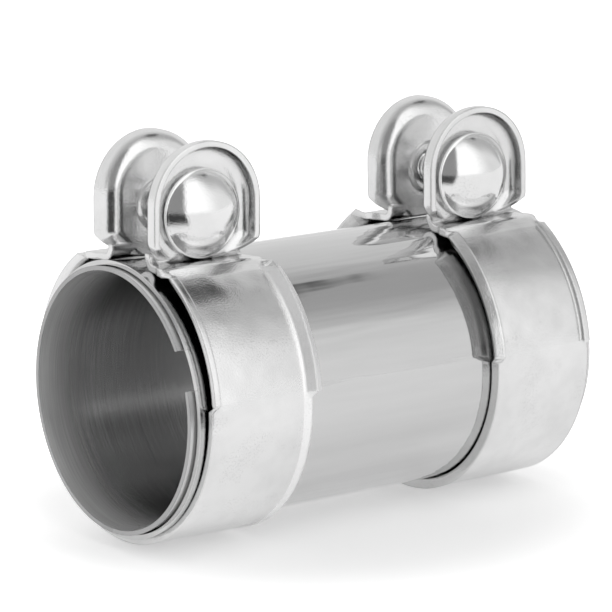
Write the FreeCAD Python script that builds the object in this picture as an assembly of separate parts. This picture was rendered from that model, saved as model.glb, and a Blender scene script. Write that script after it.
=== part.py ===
import FreeCAD, Part
import math
import os

# Exhaust pipe connector with two bolted bands.
# Two rolled sleeves, one inside the other and each slit along its length, slip over the pipe ends.
# Two pressed bands with hooded ears are drawn tight around them by carriage bolts.
# Millimetres. X runs along the pipe, the bolt heads face -Y, the ears stand up along +Z,
# and the origin is the centre of the pipe bore.

# Sleeves
sleeve_length = 124.0
bore_radius = 30.25
inner_wall = 1.1
outer_wall = 1.2
sleeve_gap = 0.35            # radial room between the two sleeves
outer_sleeve_shift = 0.30    # the loose outer sleeve lies this much to the front
outer_sleeve_inset = 1.8     # how far its ends stay behind the inner sleeve's ends
flare_length = 14.0          # each mouth opens out over this length
flare_rise = 1.35            # and by this much in radius
inner_slit_width = 9.8
inner_slit_angle = 67.0      # from the top towards the front
outer_slit_width = 6.0
outer_slit_angle = -113.0

# Band strip
band_width = 29.2
band_inset = 3.4             # from the sleeve's end to the strip's plain edge
ear_offset = 0.9             # the ears stand this far inboard of the strip's middle
band_room = 1.7              # radial room between the sleeve's straight part and the strip
band_wall = 1.8
seat_clearance = 0.02
band_lean = 0.8              # degrees by which the two bands lean towards each other

# Stiffening flanges turned out along the strip's two long edges: a leaning one on the edge
# that faces the other band, and a low upright one on the edge that faces the sleeve's mouth
inner_flange_inset = 2.6     # the bend starts this far inside the strip's plain edge
inner_flange_reach = 2.3     # straight length of the flange beyond its bend
inner_flange_turn = 58.0     # how far the edge is turned out of the strip
inner_flange_bend = 1.2
outer_flange_inset = 2.2
outer_flange_reach = 0.6
outer_flange_turn = 90.0
outer_flange_bend = 0.4
flange_start_margin = 0.4    # degrees from the foot's blend to the start of the flange
flange_end_angle = 84.0      # from the top
flange_start_runout = 5.5    # degrees over which the flange rises out of the strip
flange_end_runout = 2.5      # and over which it sinks back into it

# Foot, where the strip turns up into the ear
ear_gap = 13.6               # between the inner faces of the two ears
foot_clearance = 0.1         # between the sleeve and the foot, where the foot turns up
foot_bend = 1.6
foot_blend = 3.0
neck_inset = 1.4             # the neck is narrower than the strip by this much on each side
neck_sweep = 4.4             # radius of the two curves that draw the strip in to its neck

# Hooded ears; rises are from the top face of the foot
hood_depth = 4.15            # from the ear's outer face to the hood's rim
hood_room = 3.1              # between the bolt's head and the hood's wall
hood_arc_rise = 2.2          # the hood's arc is struck this far above the bolt
hood_wall = 1.5              # the hood is drawn a little thinner than the strip
hood_bend = 2.6
hood_side_slope = 46.0       # the straight sides draw in to the root at this angle
hood_side_corner = 4.6
hood_root_inset = 2.3        # the ear's root is narrower than the neck by this much
hood_cut_rim_rise = 4.2      # the side walls end on a slant, this high at the rim
hood_cut_root_rise = 0.4     # and this high at the ear's outer face

# Bolt, washer and nut
head_foot_clearance = 0.3    # between the bolt's head and the foot below it
bolt_diameter = 7.9
bolt_length = 35.0
bolt_point = 0.9
head_diameter = 21.8
head_edge = 2.2
head_underside_break = (1.3, 1.5)
head_ledge = 0.3
dome_height = 5.2
neck_square = 8.0
neck_length = 4.6
square_clearance = 0.15
rear_hole_room = 0.85        # between the shank and the rear ear's hole
collar_diameter = 13.6
collar_height = 1.0
nut_clearance = 0.05
washer_diameter = 16.0
washer_thickness = 1.6
washer_clearance = 0.25
nut_width = 13.0
nut_height = 6.5
nut_corner_break = 0.75
nut_countersink = 0.5

# Weld plugs under the bands
plug_diameter = 7.0
plug_cap_diameter = 9.4
plug_cap_height = 1.1

cut_margin = 1.0             # cutting tools run past the faces they cut by this much

X_AXIS = FreeCAD.Vector(1, 0, 0)
Y_AXIS = FreeCAD.Vector(0, 1, 0)
Z_AXIS = FreeCAD.Vector(0, 0, 1)
ORIGIN = FreeCAD.Vector(0, 0, 0)

# Sizes that follow from the ones above
half_length = sleeve_length / 2
flare_start = half_length - flare_length
flare_arc = (flare_length ** 2 + flare_rise ** 2) / (2 * flare_rise)
outer_sleeve_bore = bore_radius + inner_wall + sleeve_gap
outer_sleeve_radius = outer_sleeve_bore + outer_wall
band_inner_radius = outer_sleeve_radius + band_room
band_outer_radius = band_inner_radius + band_wall
outer_half = band_width / 2 + ear_offset
inner_half = band_width / 2 - ear_offset
band_x = half_length - band_inset - outer_half
ear_face = ear_gap / 2
ear_back = ear_face + band_wall
outer_neck = outer_half - neck_inset
inner_neck = inner_half - neck_inset
cutter_size = sleeve_length


def flare_at(x):
    """Growth of the sleeves' radius at the distance x from the middle."""
    past = min(max(abs(x) - flare_start, 0.0), flare_length)
    return flare_arc - math.sqrt(flare_arc ** 2 - past ** 2)


# The band rests on the flared mouth of the sleeve with its outer edge
lean_rise = math.sin(math.radians(band_lean))
lean_drop = outer_half * lean_rise
seat_radius = outer_sleeve_radius + flare_at(band_x + outer_half)
band_lift = band_inner_radius - seat_radius - lean_drop - seat_clearance

# Heights and angles from here on are measured from the centre and the top of the band's circle
foot_bend_y = ear_back + foot_bend
foot_reach = outer_sleeve_radius + flare_at(band_x + outer_neck) + foot_clearance
foot_level = math.sqrt(foot_reach ** 2 - (foot_bend_y - outer_sleeve_shift) ** 2)
foot_height = foot_level - band_lift - outer_neck * lean_rise + band_wall
foot_bend_z = foot_height + foot_bend
foot_blend_z = foot_height - foot_blend
foot_blend_y = math.sqrt((band_outer_radius - foot_blend) ** 2 - foot_blend_z ** 2)
foot_blend_angle = math.degrees(math.atan2(foot_blend_y, foot_blend_z))
flange_start_angle = foot_blend_angle + flange_start_margin
bolt_height = foot_height + head_foot_clearance + head_diameter / 2
hood_reach = ear_back + hood_depth
hood_radius = head_diameter / 2 + hood_room + hood_wall
hood_arc_height = bolt_height + hood_arc_rise
hood_root_half = inner_neck - hood_root_inset
hood_root_height = foot_height - band_wall
hood_side_width = hood_radius - hood_root_half
hood_side_foot = hood_root_height + hood_side_width * math.tan(math.radians(hood_side_slope))
hood_cut_rim = foot_height + hood_cut_rim_rise
hood_cut_root = foot_height + hood_cut_root_rise
square_hole = neck_square + 2 * square_clearance


def xz(x, z):
    return FreeCAD.Vector(x, 0, z)


def yz(y, z):
    return FreeCAD.Vector(0, y, z)


def line(a, b):
    return Part.LineSegment(a, b).toShape()


def arc(a, b, c):
    return Part.Arc(a, b, c).toShape()


def arc_around(plane, u, w, radius, start, end):
    """Arc about (u, w); 0 degrees points along the second axis and 90 along the first."""
    turns = [math.radians(start + (end - start) * k / 2) for k in range(3)]
    return arc(*[plane(u + radius * math.sin(t), w + radius * math.cos(t)) for t in turns])


def wire_of(edges):
    return Part.Wire(Part.__sortEdges__(edges))


def face_of(edges):
    return Part.Face(wire_of(edges))


def outline(points):
    return Part.Face(Part.makePolygon(points + [points[0]]))


def turned(shape, degrees):
    copy = shape.copy()
    copy.rotate(ORIGIN, X_AXIS, degrees)
    return copy


def moved(shape, x=0, y=0, z=0):
    copy = shape.copy()
    copy.translate(FreeCAD.Vector(x, y, z))
    return copy


def rod(radius, start, end):
    """Cylinder along Y."""
    return Part.makeCylinder(radius, end - start, FreeCAD.Vector(0, start, 0), Y_AXIS)


# Sleeves

def flared_tube(length, inner_radius, wall):
    """A tube whose two mouths open out on a gentle curve."""
    end = length / 2
    edges = []
    for radius in (inner_radius, inner_radius + wall):
        edges.append(line(xz(-flare_start, radius), xz(flare_start, radius)))
        for side in (-1, 1):
            stations = (flare_start, (flare_start + end) / 2, end)
            edges.append(arc(*[xz(side * x, radius + flare_at(x)) for x in stations]))
    mouth = inner_radius + flare_at(end)
    for side in (-1, 1):
        edges.append(line(xz(side * end, mouth), xz(side * end, mouth + wall)))
    return face_of(edges).revolve(ORIGIN, X_AXIS, 360)


def slit_cutter(width, angle):
    """A slot through one side of a sleeve; the angle is from the top towards the front."""
    corner = FreeCAD.Vector(-cutter_size, -width / 2, 0)
    return turned(Part.makeBox(2 * cutter_size, width, cutter_size, corner), angle)


def make_inner_sleeve():
    tube = flared_tube(sleeve_length, bore_radius, inner_wall)
    return tube.cut(slit_cutter(inner_slit_width, inner_slit_angle))


def make_outer_sleeve():
    tube = flared_tube(sleeve_length - 2 * outer_sleeve_inset, outer_sleeve_bore, outer_wall)
    tube = tube.cut(slit_cutter(outer_slit_width, outer_slit_angle))
    return moved(tube, y=-outer_sleeve_shift)


# The right band, modelled with the centre of its circle at the origin and its ears' middle at x = 0

def plain_section():
    low, high = band_inner_radius, band_outer_radius
    return outline([xz(-inner_half, low), xz(outer_half, low), xz(outer_half, high), xz(-inner_half, high)])


def flanged_section(half_width, inset, reach, degrees, bend):
    """Section of half the strip with its long edge turned out."""
    low, high = band_inner_radius, band_outer_radius
    bend_x = half_width - inset
    turn = math.radians(degrees)
    away = xz(math.sin(turn), -math.cos(turn))
    middle = xz(bend_x, high + bend)
    under, over = middle + away * (bend + band_wall), middle + away * bend
    along = xz(math.cos(turn), math.sin(turn)) * reach
    return wire_of([
        line(xz(0, low), xz(bend_x, low)),
        arc_around(xz, bend_x, high + bend, bend + band_wall, 180, 180 - degrees),
        line(under, under + along),
        line(under + along, over + along),
        line(over + along, over),
        arc_around(xz, bend_x, high + bend, bend, 180 - degrees, 180),
        line(xz(bend_x, high), xz(0, high)),
        line(xz(0, high), xz(0, low)),
    ])


def sunk_section(half_width, inset):
    """The plain strip's section, with as many sides as the flanged one so that the two can be joined."""
    low, high = band_inner_radius, band_outer_radius
    bend_x = half_width - inset
    middle_x = half_width - inset / 2
    return wire_of([
        line(xz(0, low), xz(bend_x, low)),
        line(xz(bend_x, low), xz(middle_x, low)),
        line(xz(middle_x, low), xz(half_width, low)),
        line(xz(half_width, low), xz(half_width, high)),
        line(xz(half_width, high), xz(middle_x, high)),
        line(xz(middle_x, high), xz(bend_x, high)),
        line(xz(bend_x, high), xz(0, high)),
        line(xz(0, high), xz(0, low)),
    ])


def flanged_half(half_width, inset, reach, degrees, bend):
    """Half the strip from foot to waist, with a flange along its edge."""
    full = flanged_section(half_width, inset, reach, degrees, bend)
    sunk = sunk_section(half_width, inset)
    risen_angle = flange_start_angle + flange_start_runout
    run = turned(Part.Face(full), -risen_angle)
    pieces = [run.revolve(ORIGIN, X_AXIS, risen_angle - flange_end_angle)]
    for full_angle, sunk_angle in ((risen_angle, flange_start_angle),
                                   (flange_end_angle, flange_end_angle + flange_end_runout)):
        pieces.append(Part.makeLoft([turned(full, -full_angle), turned(sunk, -sunk_angle)], True, True))
    return pieces[0].multiFuse(pieces[1:])


def make_flanged_stretch():
    """One side of the strip from foot to waist, with a flange along both long edges."""
    outer = flanged_half(outer_half, outer_flange_inset, outer_flange_reach, outer_flange_turn,
                         outer_flange_bend)
    inner = flanged_half(inner_half, inner_flange_inset, inner_flange_reach, inner_flange_turn,
                         inner_flange_bend)
    return outer.fuse(inner.mirror(ORIGIN, X_AXIS))


def make_strip_bottom():
    start = flange_end_angle + flange_end_runout
    return turned(plain_section(), -start).revolve(ORIGIN, X_AXIS, 2 * start - 360)


def foot_profile():
    """Side view of the rear foot: round strip, level foot and the ear's upright root, in one sheet."""
    root_top = foot_bend_z + foot_bend / 2
    end = math.radians(flange_start_angle)
    layers = (
        (ear_face, foot_bend + band_wall, foot_height - band_wall, foot_blend - band_wall,
         band_inner_radius),
        (ear_back, foot_bend, foot_height, foot_blend, band_outer_radius),
    )
    edges = [line(yz(ear_face, root_top), yz(ear_back, root_top))]
    for upright, bend, level, blend, strip_radius in layers:
        edges.append(line(yz(upright, root_top), yz(upright, foot_bend_z)))
        edges.append(arc_around(yz, foot_bend_y, foot_bend_z, bend, 270, 180))
        edges.append(line(yz(foot_bend_y, level), yz(foot_blend_y, level)))
        edges.append(arc_around(yz, foot_blend_y, foot_blend_z, blend, 0, foot_blend_angle))
        edges.append(arc_around(yz, 0, 0, strip_radius, foot_blend_angle, flange_start_angle))
    edges.append(line(yz(band_inner_radius * math.sin(end), band_inner_radius * math.cos(end)),
                      yz(band_outer_radius * math.sin(end), band_outer_radius * math.cos(end))))
    return face_of(edges)


def plan_point(x, y):
    return FreeCAD.Vector(x, y, 0)


def neck_side(neck, full):
    """One side of the foot in plan, widening on two smooth curves from the neck to the full strip."""
    turn = math.acos(1 - (full - neck) / (2 * neck_sweep))
    steps = (0, turn / 2, turn)
    end_y = foot_bend_y + 2 * neck_sweep * math.sin(turn)
    hollow = [plan_point(neck + neck_sweep * (1 - math.cos(t)), foot_bend_y + neck_sweep * math.sin(t))
              for t in steps]
    rounded = [plan_point(full - neck_sweep * (1 - math.cos(t)), end_y - neck_sweep * math.sin(t))
               for t in steps]
    return [line(plan_point(neck, 0), hollow[0]), arc(*hollow), arc(*rounded),
            line(rounded[0], plan_point(full, cutter_size))]


def make_foot():
    edges = neck_side(outer_neck, outer_half)
    edges += [edge.mirror(ORIGIN, X_AXIS) for edge in neck_side(inner_neck, inner_half)]
    edges.append(line(plan_point(-inner_neck, 0), plan_point(outer_neck, 0)))
    edges.append(line(plan_point(-inner_half, cutter_size), plan_point(outer_half, cutter_size)))
    plan = face_of(edges).extrude(FreeCAD.Vector(0, 0, cutter_size))
    foot = moved(foot_profile().extrude(FreeCAD.Vector(band_width, 0, 0)), x=-inner_half)
    return foot.common(plan)


def rounded_block(profile, back, front, bend):
    """A flat outline made into a block whose back edges, all but the lowest, are rounded."""
    block = moved(profile, y=back).extrude(FreeCAD.Vector(0, front - back, 0))
    lowest = block.BoundBox.ZMin
    rims = [e for e in block.Edges if max(abs(v.Y - back) for v in e.Vertexes) < 1e-6
            and e.CenterOfMass.z > lowest + 1e-3]
    return block.makeFillet(bend, rims)


def ear_outline():
    spring, side = (hood_radius, hood_arc_height), (hood_radius, hood_side_foot)
    foot = (hood_root_half, hood_root_height)
    edges = [arc(xz(-hood_radius, hood_arc_height), xz(0, hood_arc_height + hood_radius), xz(*spring)),
             line(xz(-foot[0], foot[1]), xz(*foot))]
    for sign in (-1, 1):
        edges.append(line(xz(sign * spring[0], spring[1]), xz(sign * side[0], side[1])))
        edges.append(line(xz(sign * side[0], side[1]), xz(sign * foot[0], foot[1])))
    plate = face_of(edges).extrude(Y_AXIS)
    corners = [e for e in plate.Edges if abs(e.CenterOfMass.z - hood_side_foot) < 1e-6
               and abs(abs(e.CenterOfMass.x) - hood_radius) < 1e-6 and abs(e.Length - 1) < 1e-6]
    plate = plate.makeFillet(hood_side_corner, corners)
    front = [f for f in plate.Faces if abs(f.CenterOfMass.y) < 1e-6]
    return front[0]


def make_hood():
    """The rear ear: a tongue whose edge is drawn back into a hood, away from the other ear."""
    whole = ear_outline()
    inner = Part.Face(whole.OuterWire.makeOffset2D(-hood_wall))
    shell = rounded_block(whole, ear_face, hood_reach, hood_bend + band_wall)
    shell = shell.cut(rounded_block(inner, ear_back, 2 * hood_reach, hood_bend))
    slope = (hood_cut_rim - hood_cut_root) / (hood_reach - ear_back)
    slant = [yz(y, hood_cut_root + slope * (y - ear_back)) for y in (0, 2 * hood_reach)]
    below = outline([yz(0, 0), slant[0], slant[1], yz(2 * hood_reach, 0)])
    return shell.cut(moved(below.extrude(FreeCAD.Vector(cutter_size, 0, 0)), x=-cutter_size / 2))


def make_collar():
    """Raised ring round the bolt hole on the inner face of the rear ear."""
    top, base = ear_face - collar_height, ear_face + band_wall / 2
    ring = Part.makeCone(collar_diameter / 2 - collar_height / 2, collar_diameter / 2, collar_height,
                         FreeCAD.Vector(0, top, 0), Y_AXIS)
    return moved(ring.fuse(rod(collar_diameter / 2, ear_face, base)), z=bolt_height)


def make_band():
    rear = [make_flanged_stretch(), make_foot(), make_hood()]
    front = [piece.mirror(ORIGIN, Y_AXIS) for piece in rear]
    band = make_strip_bottom().multiFuse(rear + front + [make_collar()])
    past = ear_back + cut_margin
    square = Part.makeBox(square_hole, past, square_hole,
                          FreeCAD.Vector(-square_hole / 2, -past, bolt_height - square_hole / 2))
    hole = moved(rod(bolt_diameter / 2 + rear_hole_room, 0, past), z=bolt_height)
    plug_hole = Part.makeCylinder(plug_diameter / 2 + seat_clearance, cutter_size, ORIGIN,
                                  FreeCAD.Vector(0, 0, -1))
    return band.cut([square, hole, plug_hole]).removeSplitter()


# Fasteners, modelled along Y with the bolt's axis through the origin

def xy_path(points):
    vectors = [FreeCAD.Vector(x, y, 0) for x, y in points]
    return [line(vectors[k], vectors[k + 1]) for k in range(len(vectors) - 1)]


def dome_arc(edge, base, crown):
    """Arc from the dome's edge to its crown on the bolt's axis."""
    height = base - crown
    radius = (edge ** 2 + height ** 2) / (2 * height)
    half_turn = math.asin(edge / radius) / 2
    middle = FreeCAD.Vector(radius * math.sin(half_turn), crown + radius * (1 - math.cos(half_turn)), 0)
    return arc(FreeCAD.Vector(edge, base, 0), middle, FreeCAD.Vector(0, crown, 0))


def make_bolt():
    seat = -ear_back
    head, shank = head_diameter / 2, bolt_diameter / 2
    back, down = head_underside_break
    dome_base, crown = seat - head_edge, seat - head_edge - dome_height
    tip = seat + bolt_length
    edges = xy_path([(0, crown), (0, tip), (shank - bolt_point, tip), (shank, tip - bolt_point),
                     (shank, seat), (head - back, seat), (head, seat - down), (head, dome_base),
                     (head - head_ledge, dome_base)])
    edges.append(dome_arc(head - head_ledge, dome_base, crown))
    bolt = face_of(edges).revolve(ORIGIN, Y_AXIS, 360)
    neck = Part.makeBox(neck_square, neck_length, neck_square,
                        FreeCAD.Vector(-neck_square / 2, seat, -neck_square / 2))
    return bolt.fuse(neck).removeSplitter()


def make_washer():
    start, end = ear_back, ear_back + washer_thickness
    disc = rod(washer_diameter / 2, start, end)
    return disc.cut(rod(bolt_diameter / 2 + washer_clearance, start - cut_margin, end + cut_margin))


def make_nut():
    start = ear_back + washer_thickness
    end = start + nut_height
    across = nut_width / math.cos(math.pi / 6) / 2
    corners = [FreeCAD.Vector(across * math.cos(math.pi * k / 3), start, across * math.sin(math.pi * k / 3))
               for k in range(6)]
    block = outline(corners).extrude(FreeCAD.Vector(0, nut_height, 0))
    top = nut_width / 2
    turned_edges = xy_path([(0, start), (top, start), (across, start + nut_corner_break / 2),
                            (across, end - nut_corner_break), (top, end), (0, end), (0, start)])
    block = block.common(face_of(turned_edges).revolve(ORIGIN, Y_AXIS, 360))
    bore = bolt_diameter / 2 + nut_clearance
    mouth = bore + nut_countersink + cut_margin
    low, high = start - cut_margin, end + cut_margin
    edges = xy_path([(0, low), (mouth, low), (bore, start + nut_countersink), (bore, end - nut_countersink),
                     (mouth, high), (0, high), (0, low)])
    return block.cut(face_of(edges).revolve(ORIGIN, Y_AXIS, 360))


def make_weld_plug():
    """Weld metal that fills a hole under the band and stands out as a low lens."""
    outside = -band_outer_radius
    half = plug_cap_diameter / 2
    plug = Part.makeCylinder(plug_diameter / 2, band_outer_radius, FreeCAD.Vector(0, 0, outside), Z_AXIS)
    lens_radius = (half ** 2 + plug_cap_height ** 2) / (2 * plug_cap_height)
    lens = Part.makeSphere(lens_radius, FreeCAD.Vector(0, 0, outside - plug_cap_height + lens_radius))
    cap = Part.makeCylinder(half, 3 * plug_cap_height, FreeCAD.Vector(0, 0, outside - 2 * plug_cap_height))
    strip = Part.makeCylinder(band_outer_radius + seat_clearance, 2 * half,
                              FreeCAD.Vector(-half, 0, 0), X_AXIS)
    return plug.common(lens).fuse(cap.common(lens).cut(strip)).removeSplitter()


def placed(shape):
    """A shape given relative to its band, leant and moved with the right band."""
    copy = shape.copy()
    copy.rotate(FreeCAD.Vector(0, 0, -band_outer_radius), Y_AXIS, -band_lean)
    return moved(copy, x=band_x, z=band_lift)


def seated_plug():
    """The plug in its band, ending where it meets the sleeve."""
    start = FreeCAD.Vector(-cutter_size / 2, -outer_sleeve_shift, 0)
    sleeve = Part.makeCylinder(outer_sleeve_radius + seat_clearance, cutter_size, start, X_AXIS)
    return placed(make_weld_plug()).cut(sleeve)


def make_all():
    parts = {"inner_sleeve": make_inner_sleeve(), "outer_sleeve": make_outer_sleeve()}
    right = {"clamp_band": placed(make_band()),
             "carriage_bolt": placed(moved(make_bolt(), z=bolt_height)),
             "washer": placed(moved(make_washer(), z=bolt_height)),
             "nut": placed(moved(make_nut(), z=bolt_height)),
             "weld_plug": seated_plug()}
    for name, shape in right.items():
        parts["right_" + name] = shape
        parts["left_" + name] = shape.mirror(ORIGIN, X_AXIS)
    return parts


def main():
    os.makedirs("parts", exist_ok=True)
    for name, shape in make_all().items():
        box = shape.BoundBox
        solids = shape.Solids
        assert len(solids) == 1 and shape.isValid(), name + " is not one sound solid"
        solids[0].exportStep("parts/" + name + ".step")
        print(name, round(solids[0].Volume, 1), "mm3, from",
              [round(v, 2) for v in (box.XMin, box.YMin, box.ZMin)],
              "to", [round(v, 2) for v in (box.XMax, box.YMax, box.ZMax)])


main()
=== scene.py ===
import math

import bmesh
import bpy
from mathutils import Matrix, Vector


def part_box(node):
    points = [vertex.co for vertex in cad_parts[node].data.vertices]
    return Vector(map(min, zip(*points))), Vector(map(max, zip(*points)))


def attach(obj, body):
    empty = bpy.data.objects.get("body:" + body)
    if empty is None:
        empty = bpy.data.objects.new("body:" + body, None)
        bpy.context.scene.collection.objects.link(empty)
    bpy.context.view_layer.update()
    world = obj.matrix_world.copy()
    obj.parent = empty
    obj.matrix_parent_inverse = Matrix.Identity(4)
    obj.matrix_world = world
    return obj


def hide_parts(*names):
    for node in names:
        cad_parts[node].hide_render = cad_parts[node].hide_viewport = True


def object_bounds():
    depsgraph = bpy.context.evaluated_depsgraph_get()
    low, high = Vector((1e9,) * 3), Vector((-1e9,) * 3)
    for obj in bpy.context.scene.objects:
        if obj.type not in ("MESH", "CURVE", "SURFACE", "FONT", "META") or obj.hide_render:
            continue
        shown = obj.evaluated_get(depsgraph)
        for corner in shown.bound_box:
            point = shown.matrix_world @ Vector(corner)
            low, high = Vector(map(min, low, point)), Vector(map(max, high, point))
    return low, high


# Exhaust pipe clamp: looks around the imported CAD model, in metres and in the model's own frame.

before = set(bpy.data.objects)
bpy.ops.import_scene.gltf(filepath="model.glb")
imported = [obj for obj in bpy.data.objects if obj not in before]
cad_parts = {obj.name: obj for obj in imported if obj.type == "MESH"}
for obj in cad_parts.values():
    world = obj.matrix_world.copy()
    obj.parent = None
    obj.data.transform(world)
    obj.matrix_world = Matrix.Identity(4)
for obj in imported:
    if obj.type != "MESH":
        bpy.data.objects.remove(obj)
cad_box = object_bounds()

MM = 0.001
DEGREES = 180 / math.pi
SIDES = ("left", "right")

# Camera, as found from the photograph; the image is 612 pixels wide and high
IMAGE_SIZE = 612
FOCAL_PIXELS = 3633.2
SENSOR_WIDTH = 36.0
CAMERA_AZIMUTH = -37.3
CAMERA_ELEVATION = 11.87
CAMERA_ROLL = -0.3
CAMERA_DISTANCE = 0.9019
CAMERA_TARGET = Vector((-0.0031, 0.0, 0.0155))
CAMERA_CLIP = (0.01, 50)

# Floor: a white sheet, in metres, which keeps the shadow. It is lifted towards white for the camera, and by
# another amount where the metal mirrors it, apart from the sector that the photographer darkens.
FLOOR_HALF_SIZE = 6.0
FLOOR_COLOUR = 0.9
FLOOR_ROUGHNESS = 0.9
FLOOR_DARK_COLOUR = 0.08
FLOOR_CAMERA_LIFT = 0.32
FLOOR_FAR_LIFT = 0.42           # added where the floor is well away from the object
FLOOR_FAR = (0.050, 0.105)      # metres from the middle, from none of it to all of it
FLOOR_GLOSSY_LIFT = 0.32
FLOOR_DARK_FADE = (0.16, 0.32)  # metres from the middle

# Light: a plain studio. Angles are in degrees; azimuth runs from the front (-Y) towards +X.
# A span is (from, to, softness at its start, softness at its end).
STUDIO_LEVEL = 0.83
OVERHEAD_LEVEL = 0.49           # a darker gap between the softboxes, straight above
OVERHEAD_MIDDLE = 12.0          # its middle, from straight up towards the front
OVERHEAD_CORE = 6.0             # darkest this far to each side
OVERHEAD_REACH = 48.0           # and gone this far out
SOFTBOX_SECTOR = (-31.0, 30.0, 2.0, 22.0)
DARK_SECTOR = (-74.0, -31.0, 6.0, 2.0)          # where the photographer stood
BOARD_SECTOR = (64.0, 97.0, 3.0, 3.0)           # a small dark board, high on the right
# Each patch is (span in azimuth, span in elevation, brightness)
STUDIO_PATCHES = (
    (SOFTBOX_SECTOR, (0.0, 70.0, 1.0, 14.0), 1.25),
    (DARK_SECTOR, (-30.0, 62.0, 1.0, 10.0), 0.30),
    (BOARD_SECTOR, (53.2, 72.0, 0.5, 4.0), 0.10),
)

# Bolts, in millimetres; Y runs along the bolt and is measured from the middle between the ears
BOLT_SEAT = -8.6                # the head's flat side
BOLT_TIP = 26.4
OVERLAP = 0.5                   # the neck starts this deep in the head, and the shank in the neck
SHANK_RADIUS = 3.95
THREAD_PITCH = 1.25
THREAD_ROOT = 3.25              # radius
THREAD_ROOT_SHARE = 0.12        # share of half a pitch that is the root's flat
THREAD_FLANK_SHARE = 0.70       # and share that is the flank
THREAD_START = -2.6
THREAD_FADE = 1.6               # the thread runs out over this length
THREAD_POINT = 0.9              # chamfer at the tip
HEAD_RADIUS = 10.9
HEAD_EDGE = 2.2                 # height of the head's rim
DOME_HEIGHT = 5.2
DOME_LEDGE = 0.3                # the dome starts this far inside the rim
RIM_BREAK = 0.08                # the rim's two corners are broken by this much
RIM_FRONT = (0.06, 0.25)        # from and to, past the foot of the dome
RIM_BACK = (0.15, 0.05)         # from this far before the underside's chamfer to this far into it
UNDERSIDE_BREAK = (1.3, 1.5)    # chamfer of the flat side: inwards, and along the bolt
NECK_SQUARE = 8.0
NECK_LENGTH = 4.6
NECK_CHAMFER = 0.35
NECK_TAPER = (0.3, 0.93)        # over this length at its end the neck narrows to this share
DOME_STEPS = 28
HEAD_SEGMENTS = 128
SHANK_SEGMENTS = 64
ROWS_PER_PITCH = 10
SAME_POINT = 0.002              # points nearer to each other than this are merged
BOLT_CREASE_ANGLE = 38          # edges sharper than this aren't shaded smooth

# Bands, in millimetres and degrees: how the CAD places the right one, and its edge that faces the other band
BAND_MIDDLE = 43.1              # the middle of the ears along the pipe
BAND_LIFT = 0.6928
BAND_LEAN = 0.8                 # the two bands lean towards each other
BAND_OUTSIDE = 36.4
BAND_INSIDE = 34.6
EAR_OFFSET = 0.9                # the strip's middle lies this far outboard of the ears' middle
STRIP_CREASE = 11.1             # the flange's bend starts this far from the ears' middle
FLANGE_BEND = 1.2
FLANGE_TURN = 58.0
FLANGE_RISE = (26.6, 32.1)      # from the top: the flange rises between these
FLANGE_END = 86.3               # and has gone here
EDGE_GROWTH = 0.95              # the pressed edge is thicker than the sheet by this much
EDGE_ROOM = 0.40                # least room left between that edge and the sleeve
EDGE_TAPER = 15.0               # the strip thickens over this width
SKIN = 0.1                      # a point this near to the band's inside is on it
OUTER_SHARE = 0.7               # points past this share of the flange's wall are on its outer skin
SLEEVE_RADIUS = 32.9
SLEEVE_SHIFT = 0.3              # the outer sleeve lies this much to the front

# Plated steel: lengths in millimetres. grain and wave are the heights of its two reliefs, edge the radius of
# its worn edges, spots the depth of its speckles, crown how much a strip bulges between its edges,
# flange_light how much lighter (a painted highlight) and duller the flange is made, and corner_shade how much
# darker corners are painted (painted shade).
PLATED = {
    # The left band's colour is painted a little lighter than the right band's, as painted light falling from
    # the left
    "plated_band_left": dict(colour=0.84, roughness=0.11, grain=0.035, wave=0.5, edge=0.8, crown=0.75,
                             flange_light=1.2, corner_shade=0.22),
    "plated_band_right": dict(colour=0.81, roughness=0.17, grain=0.03, wave=0.5, edge=0.8, crown=0.4,
                              corner_shade=0.2),
    "plated_fastener": dict(colour=0.78, roughness=0.16, grain=0.03, wave=0.3, edge=0.3),
    "weld_metal": dict(colour=0.66, roughness=0.32, grain=0.06, wave=1.2, edge=0.5, spots=0.3),
    "plated_bolt_left": dict(colour=0.86, roughness=0.06, grain=0.03, wave=0.2, edge=0.2),
    "plated_bolt_right": dict(colour=0.86, roughness=0.13, grain=0.012, wave=0.2, edge=0.2),
}
CROWN_WIDTH = 15                # half the strip, over which the crown falls off
FLANGE_EDGE = (0.9, 0.1)        # beyond the crease: where the flange's painted highlight is whole, and where it starts
FLANGE_TOP = (31, 33)           # heights between which it gives way to the ears' look
CORNER_SHADE_REACH = 14               # how far away a wall still adds painted shade to a corner

# Sleeves, in millimetres; depths are from the middle of the pipe towards either mouth
SLEEVE_EDGE = 0.2               # radius of the worn edges
END_FACE = (61.8, 61.95)        # between these the bore turns into its darker end face
PAINTED_LIGHT_DEPTH = (28, 61)          # the bore's colour is painted lighter over this stretch: painted light at the mouths, painted shade deeper in
DULL_DEPTH = (44, 62)           # and less metallic over this one


def clamped(value):
    """The value, kept between 0 and 1."""
    return min(max(value, 0.0), 1.0)


def metres(lengths):
    return [length * MM for length in lengths]


# Node helpers

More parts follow.
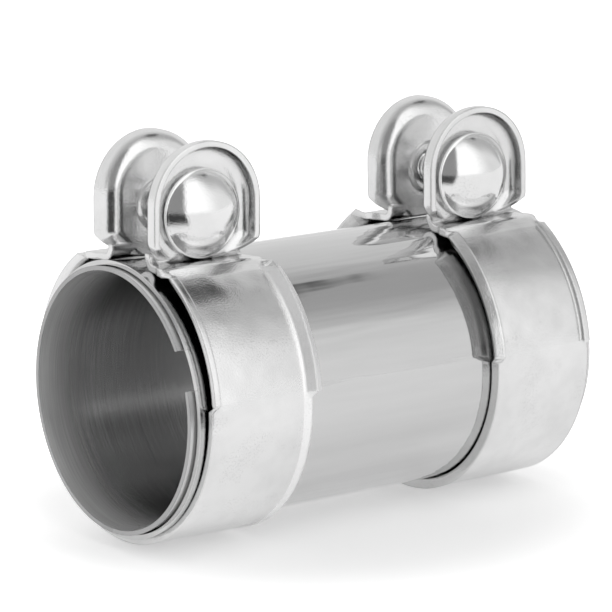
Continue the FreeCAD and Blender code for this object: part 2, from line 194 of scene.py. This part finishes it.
class Nodes:
    """Adds shader nodes to one tree with little writing; a value may be a number, a colour or a socket."""

    def __init__(self, tree):
        self.tree = tree

    def plug(self, socket, value):
        if isinstance(value, bpy.types.NodeSocket):
            self.tree.links.new(value, socket)
        else:
            socket.default_value = value

    def add(self, kind, settings=None, **inputs):
        node = self.tree.nodes.new(kind)
        for name, value in (settings or {}).items():
            setattr(node, name, value)
        for name, value in inputs.items():
            self.plug(node.inputs[name.replace("_", " ")], value)
        return node

    def math(self, operation, *values):
        node = self.add("ShaderNodeMath", {"operation": operation})
        for socket, value in zip(node.inputs, values):
            self.plug(socket, value)
        return node.outputs[0]

    def plus(self, a, b):
        return self.math("ADD", a, b)

    def minus(self, a, b):
        return self.math("SUBTRACT", a, b)

    def times(self, first, *others):
        for other in others:
            first = self.math("MULTIPLY", first, other)
        return first

    def smooth(self, value, low, high, to_low=0.0, to_high=1.0):
        """Goes smoothly from to_low, where the value is low, to to_high, where it is high."""
        node = self.add("ShaderNodeMapRange", {"interpolation_type": "SMOOTHSTEP"}, Value=value, From_Min=low,
                        From_Max=high, To_Min=to_low, To_Max=to_high)
        return node.outputs["Result"]

    def window(self, value, low, high, soft_low, soft_high):
        """1 between the two limits and 0 outside, with a soft edge at each."""
        enter = self.smooth(value, low - soft_low, low + soft_low)
        leave = self.smooth(value, high - soft_high, high + soft_high, 1.0, 0.0)
        return self.times(enter, leave)

    def mix(self, factor, a, b):
        """Mixes two colours."""
        return self.add("ShaderNodeMix", {"data_type": "RGBA"}, Factor=factor, A=a, B=b).outputs["Result"]

    def noise(self, vector, scale, detail, roughness):
        return self.add("ShaderNodeTexNoise", Vector=vector, Scale=scale, Detail=detail,
                        Roughness=roughness).outputs["Fac"]

    def split(self, vector):
        return self.add("ShaderNodeSeparateXYZ", Vector=vector).outputs

    def join(self, x, y, z):
        return self.add("ShaderNodeCombineXYZ", X=x, Y=y, Z=z).outputs["Vector"]

    def azimuth(self, x, y):
        """Degrees from the front (-Y) towards +X."""
        return self.times(self.math("ARCTAN2", x, self.times(y, -1.0)), DEGREES)

    def grey(self, tone):
        """A grey colour of this tone, which changes over the surface."""
        return self.add("ShaderNodeCombineColor", Red=tone, Green=tone, Blue=tone).outputs["Color"]

    def worn_edges(self, radius):
        return self.add("ShaderNodeBevel", {"samples": 6}, Radius=radius).outputs["Normal"]

    def bump(self, height, distance, normal):
        return self.add("ShaderNodeBump", Height=height, Distance=distance, Normal=normal).outputs["Normal"]


def grey(value):
    return (value, value, value, 1.0)


# Camera and stage

def make_camera():
    azimuth, elevation = math.radians(CAMERA_AZIMUTH), math.radians(CAMERA_ELEVATION)
    back = Vector((math.sin(azimuth) * math.cos(elevation), -math.cos(azimuth) * math.cos(elevation),
                   math.sin(elevation)))
    right = Vector((math.cos(azimuth), math.sin(azimuth), 0))
    up = back.cross(right)
    basis = Matrix((right, up, back)).transposed() @ Matrix.Rotation(math.radians(CAMERA_ROLL), 3, "Z")
    data = bpy.data.cameras.new("camera")
    data.sensor_width = SENSOR_WIDTH
    data.lens = FOCAL_PIXELS / IMAGE_SIZE * SENSOR_WIDTH
    data.clip_start, data.clip_end = CAMERA_CLIP
    camera = bpy.data.objects.new("camera", data)
    camera.matrix_world = Matrix.Translation(CAMERA_TARGET + back * CAMERA_DISTANCE) @ basis.to_4x4()
    bpy.context.scene.collection.objects.link(camera)
    bpy.context.scene.camera = camera


def make_floor():
    size = FLOOR_HALF_SIZE
    low = cad_box[0].z
    mesh = bpy.data.meshes.new("floor")
    mesh.from_pydata([(-size, -size, low), (size, -size, low), (size, size, low), (-size, size, low)], [],
                     [(0, 1, 2, 3)])
    floor = bpy.data.objects.new("floor", mesh)
    bpy.context.scene.collection.objects.link(floor)
    material = bpy.data.materials.new("floor_white")
    material.use_nodes = True
    nodes = Nodes(material.node_tree)
    shader = material.node_tree.nodes["Principled BSDF"]
    shader.inputs["Roughness"].default_value = FLOOR_ROUGHNESS
    shader.inputs["Specular IOR Level"].default_value = 0.0
    rays = nodes.add("ShaderNodeLightPath")
    glossy = rays.outputs["Is Glossy Ray"]
    x, y, z = nodes.split(nodes.add("ShaderNodeNewGeometry").outputs["Position"])
    distance = nodes.math("SQRT", nodes.plus(nodes.times(x, x), nodes.times(y, y)))
    sector = nodes.window(nodes.azimuth(x, y), *DARK_SECTOR)
    dark = nodes.times(sector, nodes.smooth(distance, *FLOOR_DARK_FADE), glossy)
    nodes.plug(shader.inputs["Base Color"], nodes.mix(dark, grey(FLOOR_COLOUR), grey(FLOOR_DARK_COLOUR)))
    nodes.plug(shader.inputs["Emission Color"], grey(1.0))
    lift = nodes.smooth(distance, *FLOOR_FAR, FLOOR_CAMERA_LIFT, FLOOR_CAMERA_LIFT + FLOOR_FAR_LIFT)
    seen = nodes.times(rays.outputs["Is Camera Ray"], lift)
    mirrored = nodes.times(nodes.minus(glossy, dark), FLOOR_GLOSSY_LIFT)
    nodes.plug(shader.inputs["Emission Strength"], nodes.plus(seen, mirrored))
    mesh.materials.append(material)


def make_world():
    world = bpy.data.worlds.new("studio")
    world.use_nodes = True
    nodes = Nodes(world.node_tree)
    x, y, z = nodes.split(nodes.add("ShaderNodeTexCoord").outputs["Generated"])
    azimuth = nodes.azimuth(x, y)
    elevation = nodes.times(nodes.math("ARCSINE", z), DEGREES)
    from_top = nodes.times(nodes.math("ARCTAN2", nodes.times(y, -1.0), z), DEGREES)
    gap = nodes.math("ABSOLUTE", nodes.minus(from_top, OVERHEAD_MIDDLE))
    level = nodes.smooth(gap, OVERHEAD_CORE, OVERHEAD_REACH, OVERHEAD_LEVEL, STUDIO_LEVEL)
    for across, along, value in STUDIO_PATCHES:
        inside = nodes.times(nodes.window(azimuth, *across), nodes.window(elevation, *along))
        level = nodes.plus(nodes.times(inside, value), nodes.times(nodes.minus(1.0, inside), level))
    rays = nodes.add("ShaderNodeLightPath")
    background = world.node_tree.nodes["Background"]
    background.inputs["Color"].default_value = grey(1.0)
    nodes.plug(background.inputs["Strength"], nodes.math("MAXIMUM", level, rays.outputs["Is Camera Ray"]))
    bpy.context.scene.world = world


# Materials

def new_metal(name):
    """A metal, with its node helper, its shader and the coordinates of its surface."""
    material = bpy.data.materials.new(name)
    material.use_nodes = True
    nodes = Nodes(material.node_tree)
    shader = material.node_tree.nodes["Principled BSDF"]
    shader.inputs["Metallic"].default_value = 1.0
    return material, nodes, shader, nodes.add("ShaderNodeTexCoord").outputs["Object"]


def plated_steel(name, colour, roughness, grain, wave, edge, spots=0.12, crown=0.0, flange_light=0.0, corner_shade=0.0):
    """Zinc-plated steel: clouded, softly waved, with a fine grain that shows where reflections change."""
    material, nodes, shader, place = new_metal(name)
    x, y, z = nodes.split(place)
    out = nodes.math("ABSOLUTE", x)
    clouds = nodes.noise(place, scale=55.0, detail=3.0, roughness=0.55)
    mist = nodes.noise(place, scale=260.0, detail=3.0, roughness=0.6)
    patches = nodes.smooth(nodes.noise(place, scale=90.0, detail=2.0, roughness=0.6), 0.50, 0.64)
    specks = nodes.smooth(nodes.noise(place, scale=2600.0, detail=2.0, roughness=0.6), 0.52, 0.66)
    speckle = nodes.times(patches, specks, spots)

    tone = nodes.smooth(clouds, 0.3, 0.7, colour * 0.95, min(colour * 1.04, 1.0))
    tone = nodes.times(tone, nodes.smooth(mist, 0.3, 0.7, 0.975, 1.01), nodes.minus(1.0, speckle))
    rough = nodes.smooth(clouds, 0.25, 0.75, roughness * 0.75, roughness * 1.3)
    rough = nodes.plus(rough, nodes.times(speckle, 0.3))
    if corner_shade:
        # painted shade: the plating is painted darker in corners and crevices, where shade falls
        corner = nodes.add("ShaderNodeAmbientOcclusion", {"samples": 8}, Distance=CORNER_SHADE_REACH * MM)
        tone = nodes.times(tone, nodes.smooth(corner.outputs["AO"], 0.15, 0.75, 1.0 - corner_shade, 1.0))
    # painted highlight: the flange beyond the crease is painted lighter up to the ears, and is also made
    # duller
    if flange_light:
        whole, start = (BAND_MIDDLE - STRIP_CREASE - past for past in FLANGE_EDGE)
        painted_flange_light = nodes.times(nodes.smooth(out, whole * MM, start * MM, flange_light, 0.0),
                              nodes.smooth(z, *metres(FLANGE_TOP), 1.0, 0.0))
        tone = nodes.plus(tone, nodes.times(painted_flange_light, 1.0 - colour))
        rough = nodes.plus(rough, nodes.times(painted_flange_light, 0.3))
    nodes.plug(shader.inputs["Base Color"], nodes.grey(tone))
    nodes.plug(shader.inputs["Roughness"], rough)

    waves = nodes.noise(place, scale=95.0, detail=1.0, roughness=0.4)
    grains = nodes.noise(place, scale=2400.0, detail=2.0, roughness=0.6)
    normal = nodes.bump(waves, wave * MM, nodes.worn_edges(edge * MM))
    if crown:
        across = nodes.minus(out, (BAND_MIDDLE + EAR_OFFSET) * MM)
        bulge = nodes.times(across, across, -1 / (CROWN_WIDTH * MM) ** 2)
        normal = nodes.bump(bulge, crown * MM, normal)
    nodes.plug(shader.inputs["Normal"], nodes.bump(grains, grain * MM, normal))
    return material


def polished_sleeve():
    """Mirror-polished sheet, a little uneven round the tube as rolling leaves it."""
    material, nodes, shader, place = new_metal("polished_sleeve")
    x, y, z = nodes.split(place)
    rolled = nodes.join(nodes.times(x, 9.0), nodes.times(nodes.math("ARCTAN2", y, z), 3.2), 0.0)
    streaks = nodes.noise(rolled, scale=1.0, detail=3.0, roughness=0.55)
    clouds = nodes.noise(place, scale=30.0, detail=2.0, roughness=0.5)
    nodes.plug(shader.inputs["Base Color"], nodes.grey(nodes.smooth(streaks, 0.3, 0.7, 0.61, 0.67)))
    nodes.plug(shader.inputs["Roughness"], nodes.smooth(clouds, 0.3, 0.7, 0.05, 0.11))
    normal = nodes.bump(streaks, 0.35 * MM, nodes.worn_edges(SLEEVE_EDGE * MM))
    nodes.plug(shader.inputs["Normal"], nodes.bump(clouds, 0.2 * MM, normal))
    return material


def brushed_sleeve():
    """Dull sheet with fine marks that run round the bore, less metallic towards the mouths, and painted
    lighter there as painted light and darker deep inside as painted shade.
    """
    material, nodes, shader, place = new_metal("brushed_sleeve")
    x, y, z = nodes.split(place)
    out = nodes.math("ABSOLUTE", x)
    brushed = nodes.join(nodes.times(x, 4200.0), nodes.times(nodes.math("ARCTAN2", y, z), 1.2), 0.0)
    marks = nodes.noise(brushed, scale=1.0, detail=3.0, roughness=0.6)
    clouds = nodes.noise(place, scale=40.0, detail=3.0, roughness=0.5)
    # painted light and shade: the bore is painted lighter towards the mouths and darker deep inside, and its
    # end face darker
    painted_light_and_end_face = nodes.times(nodes.smooth(out, *metres(PAINTED_LIGHT_DEPTH), 0.65, 1.55),
                        nodes.smooth(out, *metres(END_FACE), 1.0, 0.5))
    tone = nodes.times(nodes.smooth(marks, 0.25, 0.75, 0.54, 0.68),
                       nodes.times(nodes.smooth(clouds, 0.3, 0.7, 0.95, 1.04), painted_light_and_end_face))
    nodes.plug(shader.inputs["Base Color"], nodes.grey(tone))
    nodes.plug(shader.inputs["Metallic"], nodes.smooth(out, *metres(DULL_DEPTH), 0.95, 0.58))
    nodes.plug(shader.inputs["Roughness"], nodes.smooth(marks, 0.3, 0.7, 0.17, 0.24))
    nodes.plug(shader.inputs["Normal"], nodes.bump(marks, 0.003 * MM, nodes.worn_edges(SLEEVE_EDGE * MM)))
    return material


# Bolts

def revolve(bm, profile, segments):
    """A closed solid of revolution about Y; the profile is (radius, y) and starts and ends on the axis."""
    turns = [2 * math.pi * k / segments for k in range(segments)]
    rings = []
    for radius, y in profile:
        points = [(radius * math.sin(t), y, radius * math.cos(t)) for t in turns] if radius else [(0, y, 0)]
        rings.append([bm.verts.new(point) for point in points])
    for low, high in zip(rings, rings[1:]):
        for k in range(segments):
            n = (k + 1) % segments
            corners = [low[k % len(low)], low[n % len(low)], high[n % len(high)], high[k % len(high)]]
            bm.faces.new(list(dict.fromkeys(corners)))


def head_profile():
    """Outline of the bolt's head, from the crown of its dome to the middle of its flat side."""
    base = BOLT_SEAT - HEAD_EDGE
    edge = HEAD_RADIUS - DOME_LEDGE
    ball = (edge ** 2 + DOME_HEIGHT ** 2) / (2 * DOME_HEIGHT)
    half_turn = math.asin(edge / ball)
    crown = base - DOME_HEIGHT
    points = []
    for k in range(DOME_STEPS + 1):
        t = half_turn * k / DOME_STEPS
        points.append((ball * math.sin(t), crown + ball * (1 - math.cos(t))))
    inwards, down = UNDERSIDE_BREAK
    chamfer = BOLT_SEAT - down
    points += [(HEAD_RADIUS - RIM_BREAK, base + RIM_FRONT[0]), (HEAD_RADIUS, base + RIM_FRONT[1]),
               (HEAD_RADIUS, chamfer - RIM_BACK[0]), (HEAD_RADIUS - RIM_BREAK, chamfer + RIM_BACK[1]),
               (HEAD_RADIUS - inwards, BOLT_SEAT), (0, BOLT_SEAT)]
    return points


def thread_radius(y, phase):
    """Radius of the threaded shank at the height y, where phase runs from 0 to 1 over one pitch."""
    flank = clamped((abs(2 * phase - 1) - THREAD_ROOT_SHARE) / THREAD_FLANK_SHARE)
    radius = THREAD_ROOT + (SHANK_RADIUS - THREAD_ROOT) * flank
    radius = SHANK_RADIUS + (radius - SHANK_RADIUS) * clamped((y - THREAD_START) / THREAD_FADE)
    return min(radius, SHANK_RADIUS - THREAD_POINT + (BOLT_TIP - y))


def add_shank(bm):
    """Plain shank and thread; the rows of points climb one pitch a turn, so that they follow the thread."""
    turns = int((BOLT_TIP - THREAD_START) / THREAD_PITCH) + 2
    rows = turns * ROWS_PER_PITCH
    grid = []
    for k in range(SHANK_SEGMENTS):
        angle = 2 * math.pi * k / SHANK_SEGMENTS
        across, up = math.sin(angle), math.cos(angle)
        column = [bm.verts.new((SHANK_RADIUS * across, BOLT_SEAT + OVERLAP, SHANK_RADIUS * up))]
        for row in range(rows + 1):
            climb = (row / ROWS_PER_PITCH - 1 + k / SHANK_SEGMENTS) * THREAD_PITCH
            y = min(max(THREAD_START + climb, THREAD_START), BOLT_TIP)
            radius = thread_radius(y, (row / ROWS_PER_PITCH) % 1.0)
            column.append(bm.verts.new((radius * across, y, radius * up)))
        grid.append(column)
    for k in range(SHANK_SEGMENTS):
        here, there = grid[k], grid[(k + 1) % SHANK_SEGMENTS]
        shift = ROWS_PER_PITCH if k == SHANK_SEGMENTS - 1 else 0
        bm.faces.new([here[0], there[0], there[1], here[1]])
        for row in range(1, rows + 1 - shift):
            bm.faces.new([here[row], there[row + shift], there[row + 1 + shift], here[row + 1]])
    bm.faces.new([column[0] for column in reversed(grid)])
    bmesh.ops.remove_doubles(bm, verts=bm.verts, dist=SAME_POINT)
    tip = [e for e in bm.edges if e.is_boundary and all(BOLT_TIP - v.co.y < SAME_POINT for v in e.verts)]
    bmesh.ops.contextual_create(bm, geom=tip)


def add_neck(bm):
    """Square neck under the head, with its long edges broken."""
    half = NECK_SQUARE / 2
    ring = []
    for k in range(4):
        turn = math.radians(90 * k + BAND_LEAN)
        for u, w in ((half, half - NECK_CHAMFER), (half - NECK_CHAMFER, half)):
            ring.append((u * math.cos(turn) - w * math.sin(turn), u * math.sin(turn) + w * math.cos(turn)))
    end = BOLT_SEAT + NECK_LENGTH
    taper, narrowed = NECK_TAPER
    stations = [(1.0, BOLT_SEAT - OVERLAP), (1.0, end - taper), (narrowed, end)]
    loops = [[bm.verts.new((x * scale, y, z * scale)) for x, z in ring] for scale, y in stations]
    for low, high in zip(loops, loops[1:]):
        for k in range(len(ring)):
            n = (k + 1) % len(ring)
            bm.faces.new([low[k], low[n], high[n], high[k]])
    bm.faces.new(loops[0])
    bm.faces.new(list(reversed(loops[-1])))


def join_meshes(name, makers):
    """Joins the meshes that the makers build, in millimetres, into one mesh in metres."""
    whole = bmesh.new()
    for make in makers:
        part = bmesh.new()
        make(part)
        bmesh.ops.recalc_face_normals(part, faces=part.faces)
        mesh = bpy.data.meshes.new("part")
        part.to_mesh(mesh)
        part.free()
        whole.from_mesh(mesh)
        bpy.data.meshes.remove(mesh)
    bmesh.ops.scale(whole, vec=(MM, MM, MM), verts=whole.verts)
    mesh = bpy.data.meshes.new(name)
    whole.to_mesh(mesh)
    whole.free()
    return mesh


def add_piece(mesh, material, node):
    """Puts a mesh in the scene as a piece that stands for a CAD node."""
    mesh.materials.clear()
    mesh.materials.append(material)
    piece = bpy.data.objects.new(mesh.name, mesh)
    bpy.context.scene.collection.objects.link(piece)
    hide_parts(node)
    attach(piece, "connector")


def make_bolt(side, material):
    """A bolt with a real thread in place of the CAD one."""
    node = side + "_carriage_bolt"
    low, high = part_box(node)
    mesh = join_meshes(side + "_threaded_bolt", [lambda bm: revolve(bm, head_profile(), HEAD_SEGMENTS),
                                                 add_neck, add_shank])
    mesh.transform(Matrix.Translation(((low[0] + high[0]) / 2, 0, (low[2] + high[2]) / 2)))
    for polygon in mesh.polygons:
        polygon.use_smooth = True
    mesh.set_sharp_from_angle(angle=math.radians(BOLT_CREASE_ANGLE))
    add_piece(mesh, material, node)


# Bands

def edge_growth(u, r, angle, room):
    """How far a point of the band moves towards the other band, and how far away from the axis.

    The point lies u beyond the crease, r from the axis and at this angle from the top."""
    start, risen = FLANGE_RISE
    if angle < start:
        return 0.0, 0.0
    growth = min(EDGE_GROWTH, max(room - EDGE_ROOM, 0.0)) * clamped((angle - start) / (risen - start))
    inside = r < BAND_INSIDE + SKIN
    if angle > FLANGE_END or u < 0 and inside:
        return 0.0, -growth * clamped((u + EDGE_TAPER) / EDGE_TAPER) if inside else 0.0
    if u < 0:
        return 0.0, 0.0
    w = r - BAND_OUTSIDE - FLANGE_BEND
    turn = min(math.atan2(u, -w), math.radians(FLANGE_TURN))
    from_bend = u * math.sin(turn) - w * math.cos(turn) - FLANGE_BEND
    if from_bend < OUTER_SHARE * (BAND_OUTSIDE - BAND_INSIDE):
        return 0.0, 0.0
    return growth * math.sin(turn), -growth * math.cos(turn)


def make_band(side, material):
    """The CAD band with its pressed inner edge made thicker, so that it closes on the sleeve."""
    node = side + "_clamp_band"
    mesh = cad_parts[node].data.copy()
    mesh.name = side + "_pressed_band"
    pivot = Vector((0, 0, -BAND_OUTSIDE))
    lean = Matrix.Rotation(math.radians(-BAND_LEAN), 3, "Y")
    place = Vector((BAND_MIDDLE, 0, BAND_LIFT))
    mirror = Vector((1 if side == "right" else -1, 1, 1))
    for vertex in mesh.vertices:
        world = vertex.co / MM * mirror
        point = lean.transposed() @ (world - place - pivot) + pivot
        r = math.hypot(point.y, point.z)
        angle = math.degrees(math.atan2(abs(point.y), point.z))
        room = EDGE_ROOM + EDGE_GROWTH
        if r <= BAND_INSIDE + SKIN:
            room = math.hypot(world.y + SLEEVE_SHIFT, world.z) - SLEEVE_RADIUS
        out, away = edge_growth(-point.x - STRIP_CREASE, r, angle, room)
        if out or away:
            k = (r + away) / r
            point = Vector((point.x - out, point.y * k, point.z * k))
            vertex.co = (lean @ (point - pivot) + pivot + place) * mirror * MM
    add_piece(mesh, material, node)


def dress():
    plated = {name: plated_steel(name, **settings) for name, settings in PLATED.items()}
    looks = {"inner_sleeve": brushed_sleeve(), "outer_sleeve": polished_sleeve()}
    for side in SIDES:
        looks[side + "_washer"] = looks[side + "_nut"] = plated["plated_fastener"]
        looks[side + "_weld_plug"] = plated["weld_metal"]
    for name, material in looks.items():
        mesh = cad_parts[name].data
        mesh.materials.clear()
        mesh.materials.append(material)
    for side in SIDES:
        make_band(side, plated["plated_band_" + side])
    for side in SIDES:
        make_bolt(side, plated["plated_bolt_" + side])


make_camera()
make_floor()
make_world()
bpy.context.scene.view_settings.view_transform = "Standard"
dress()
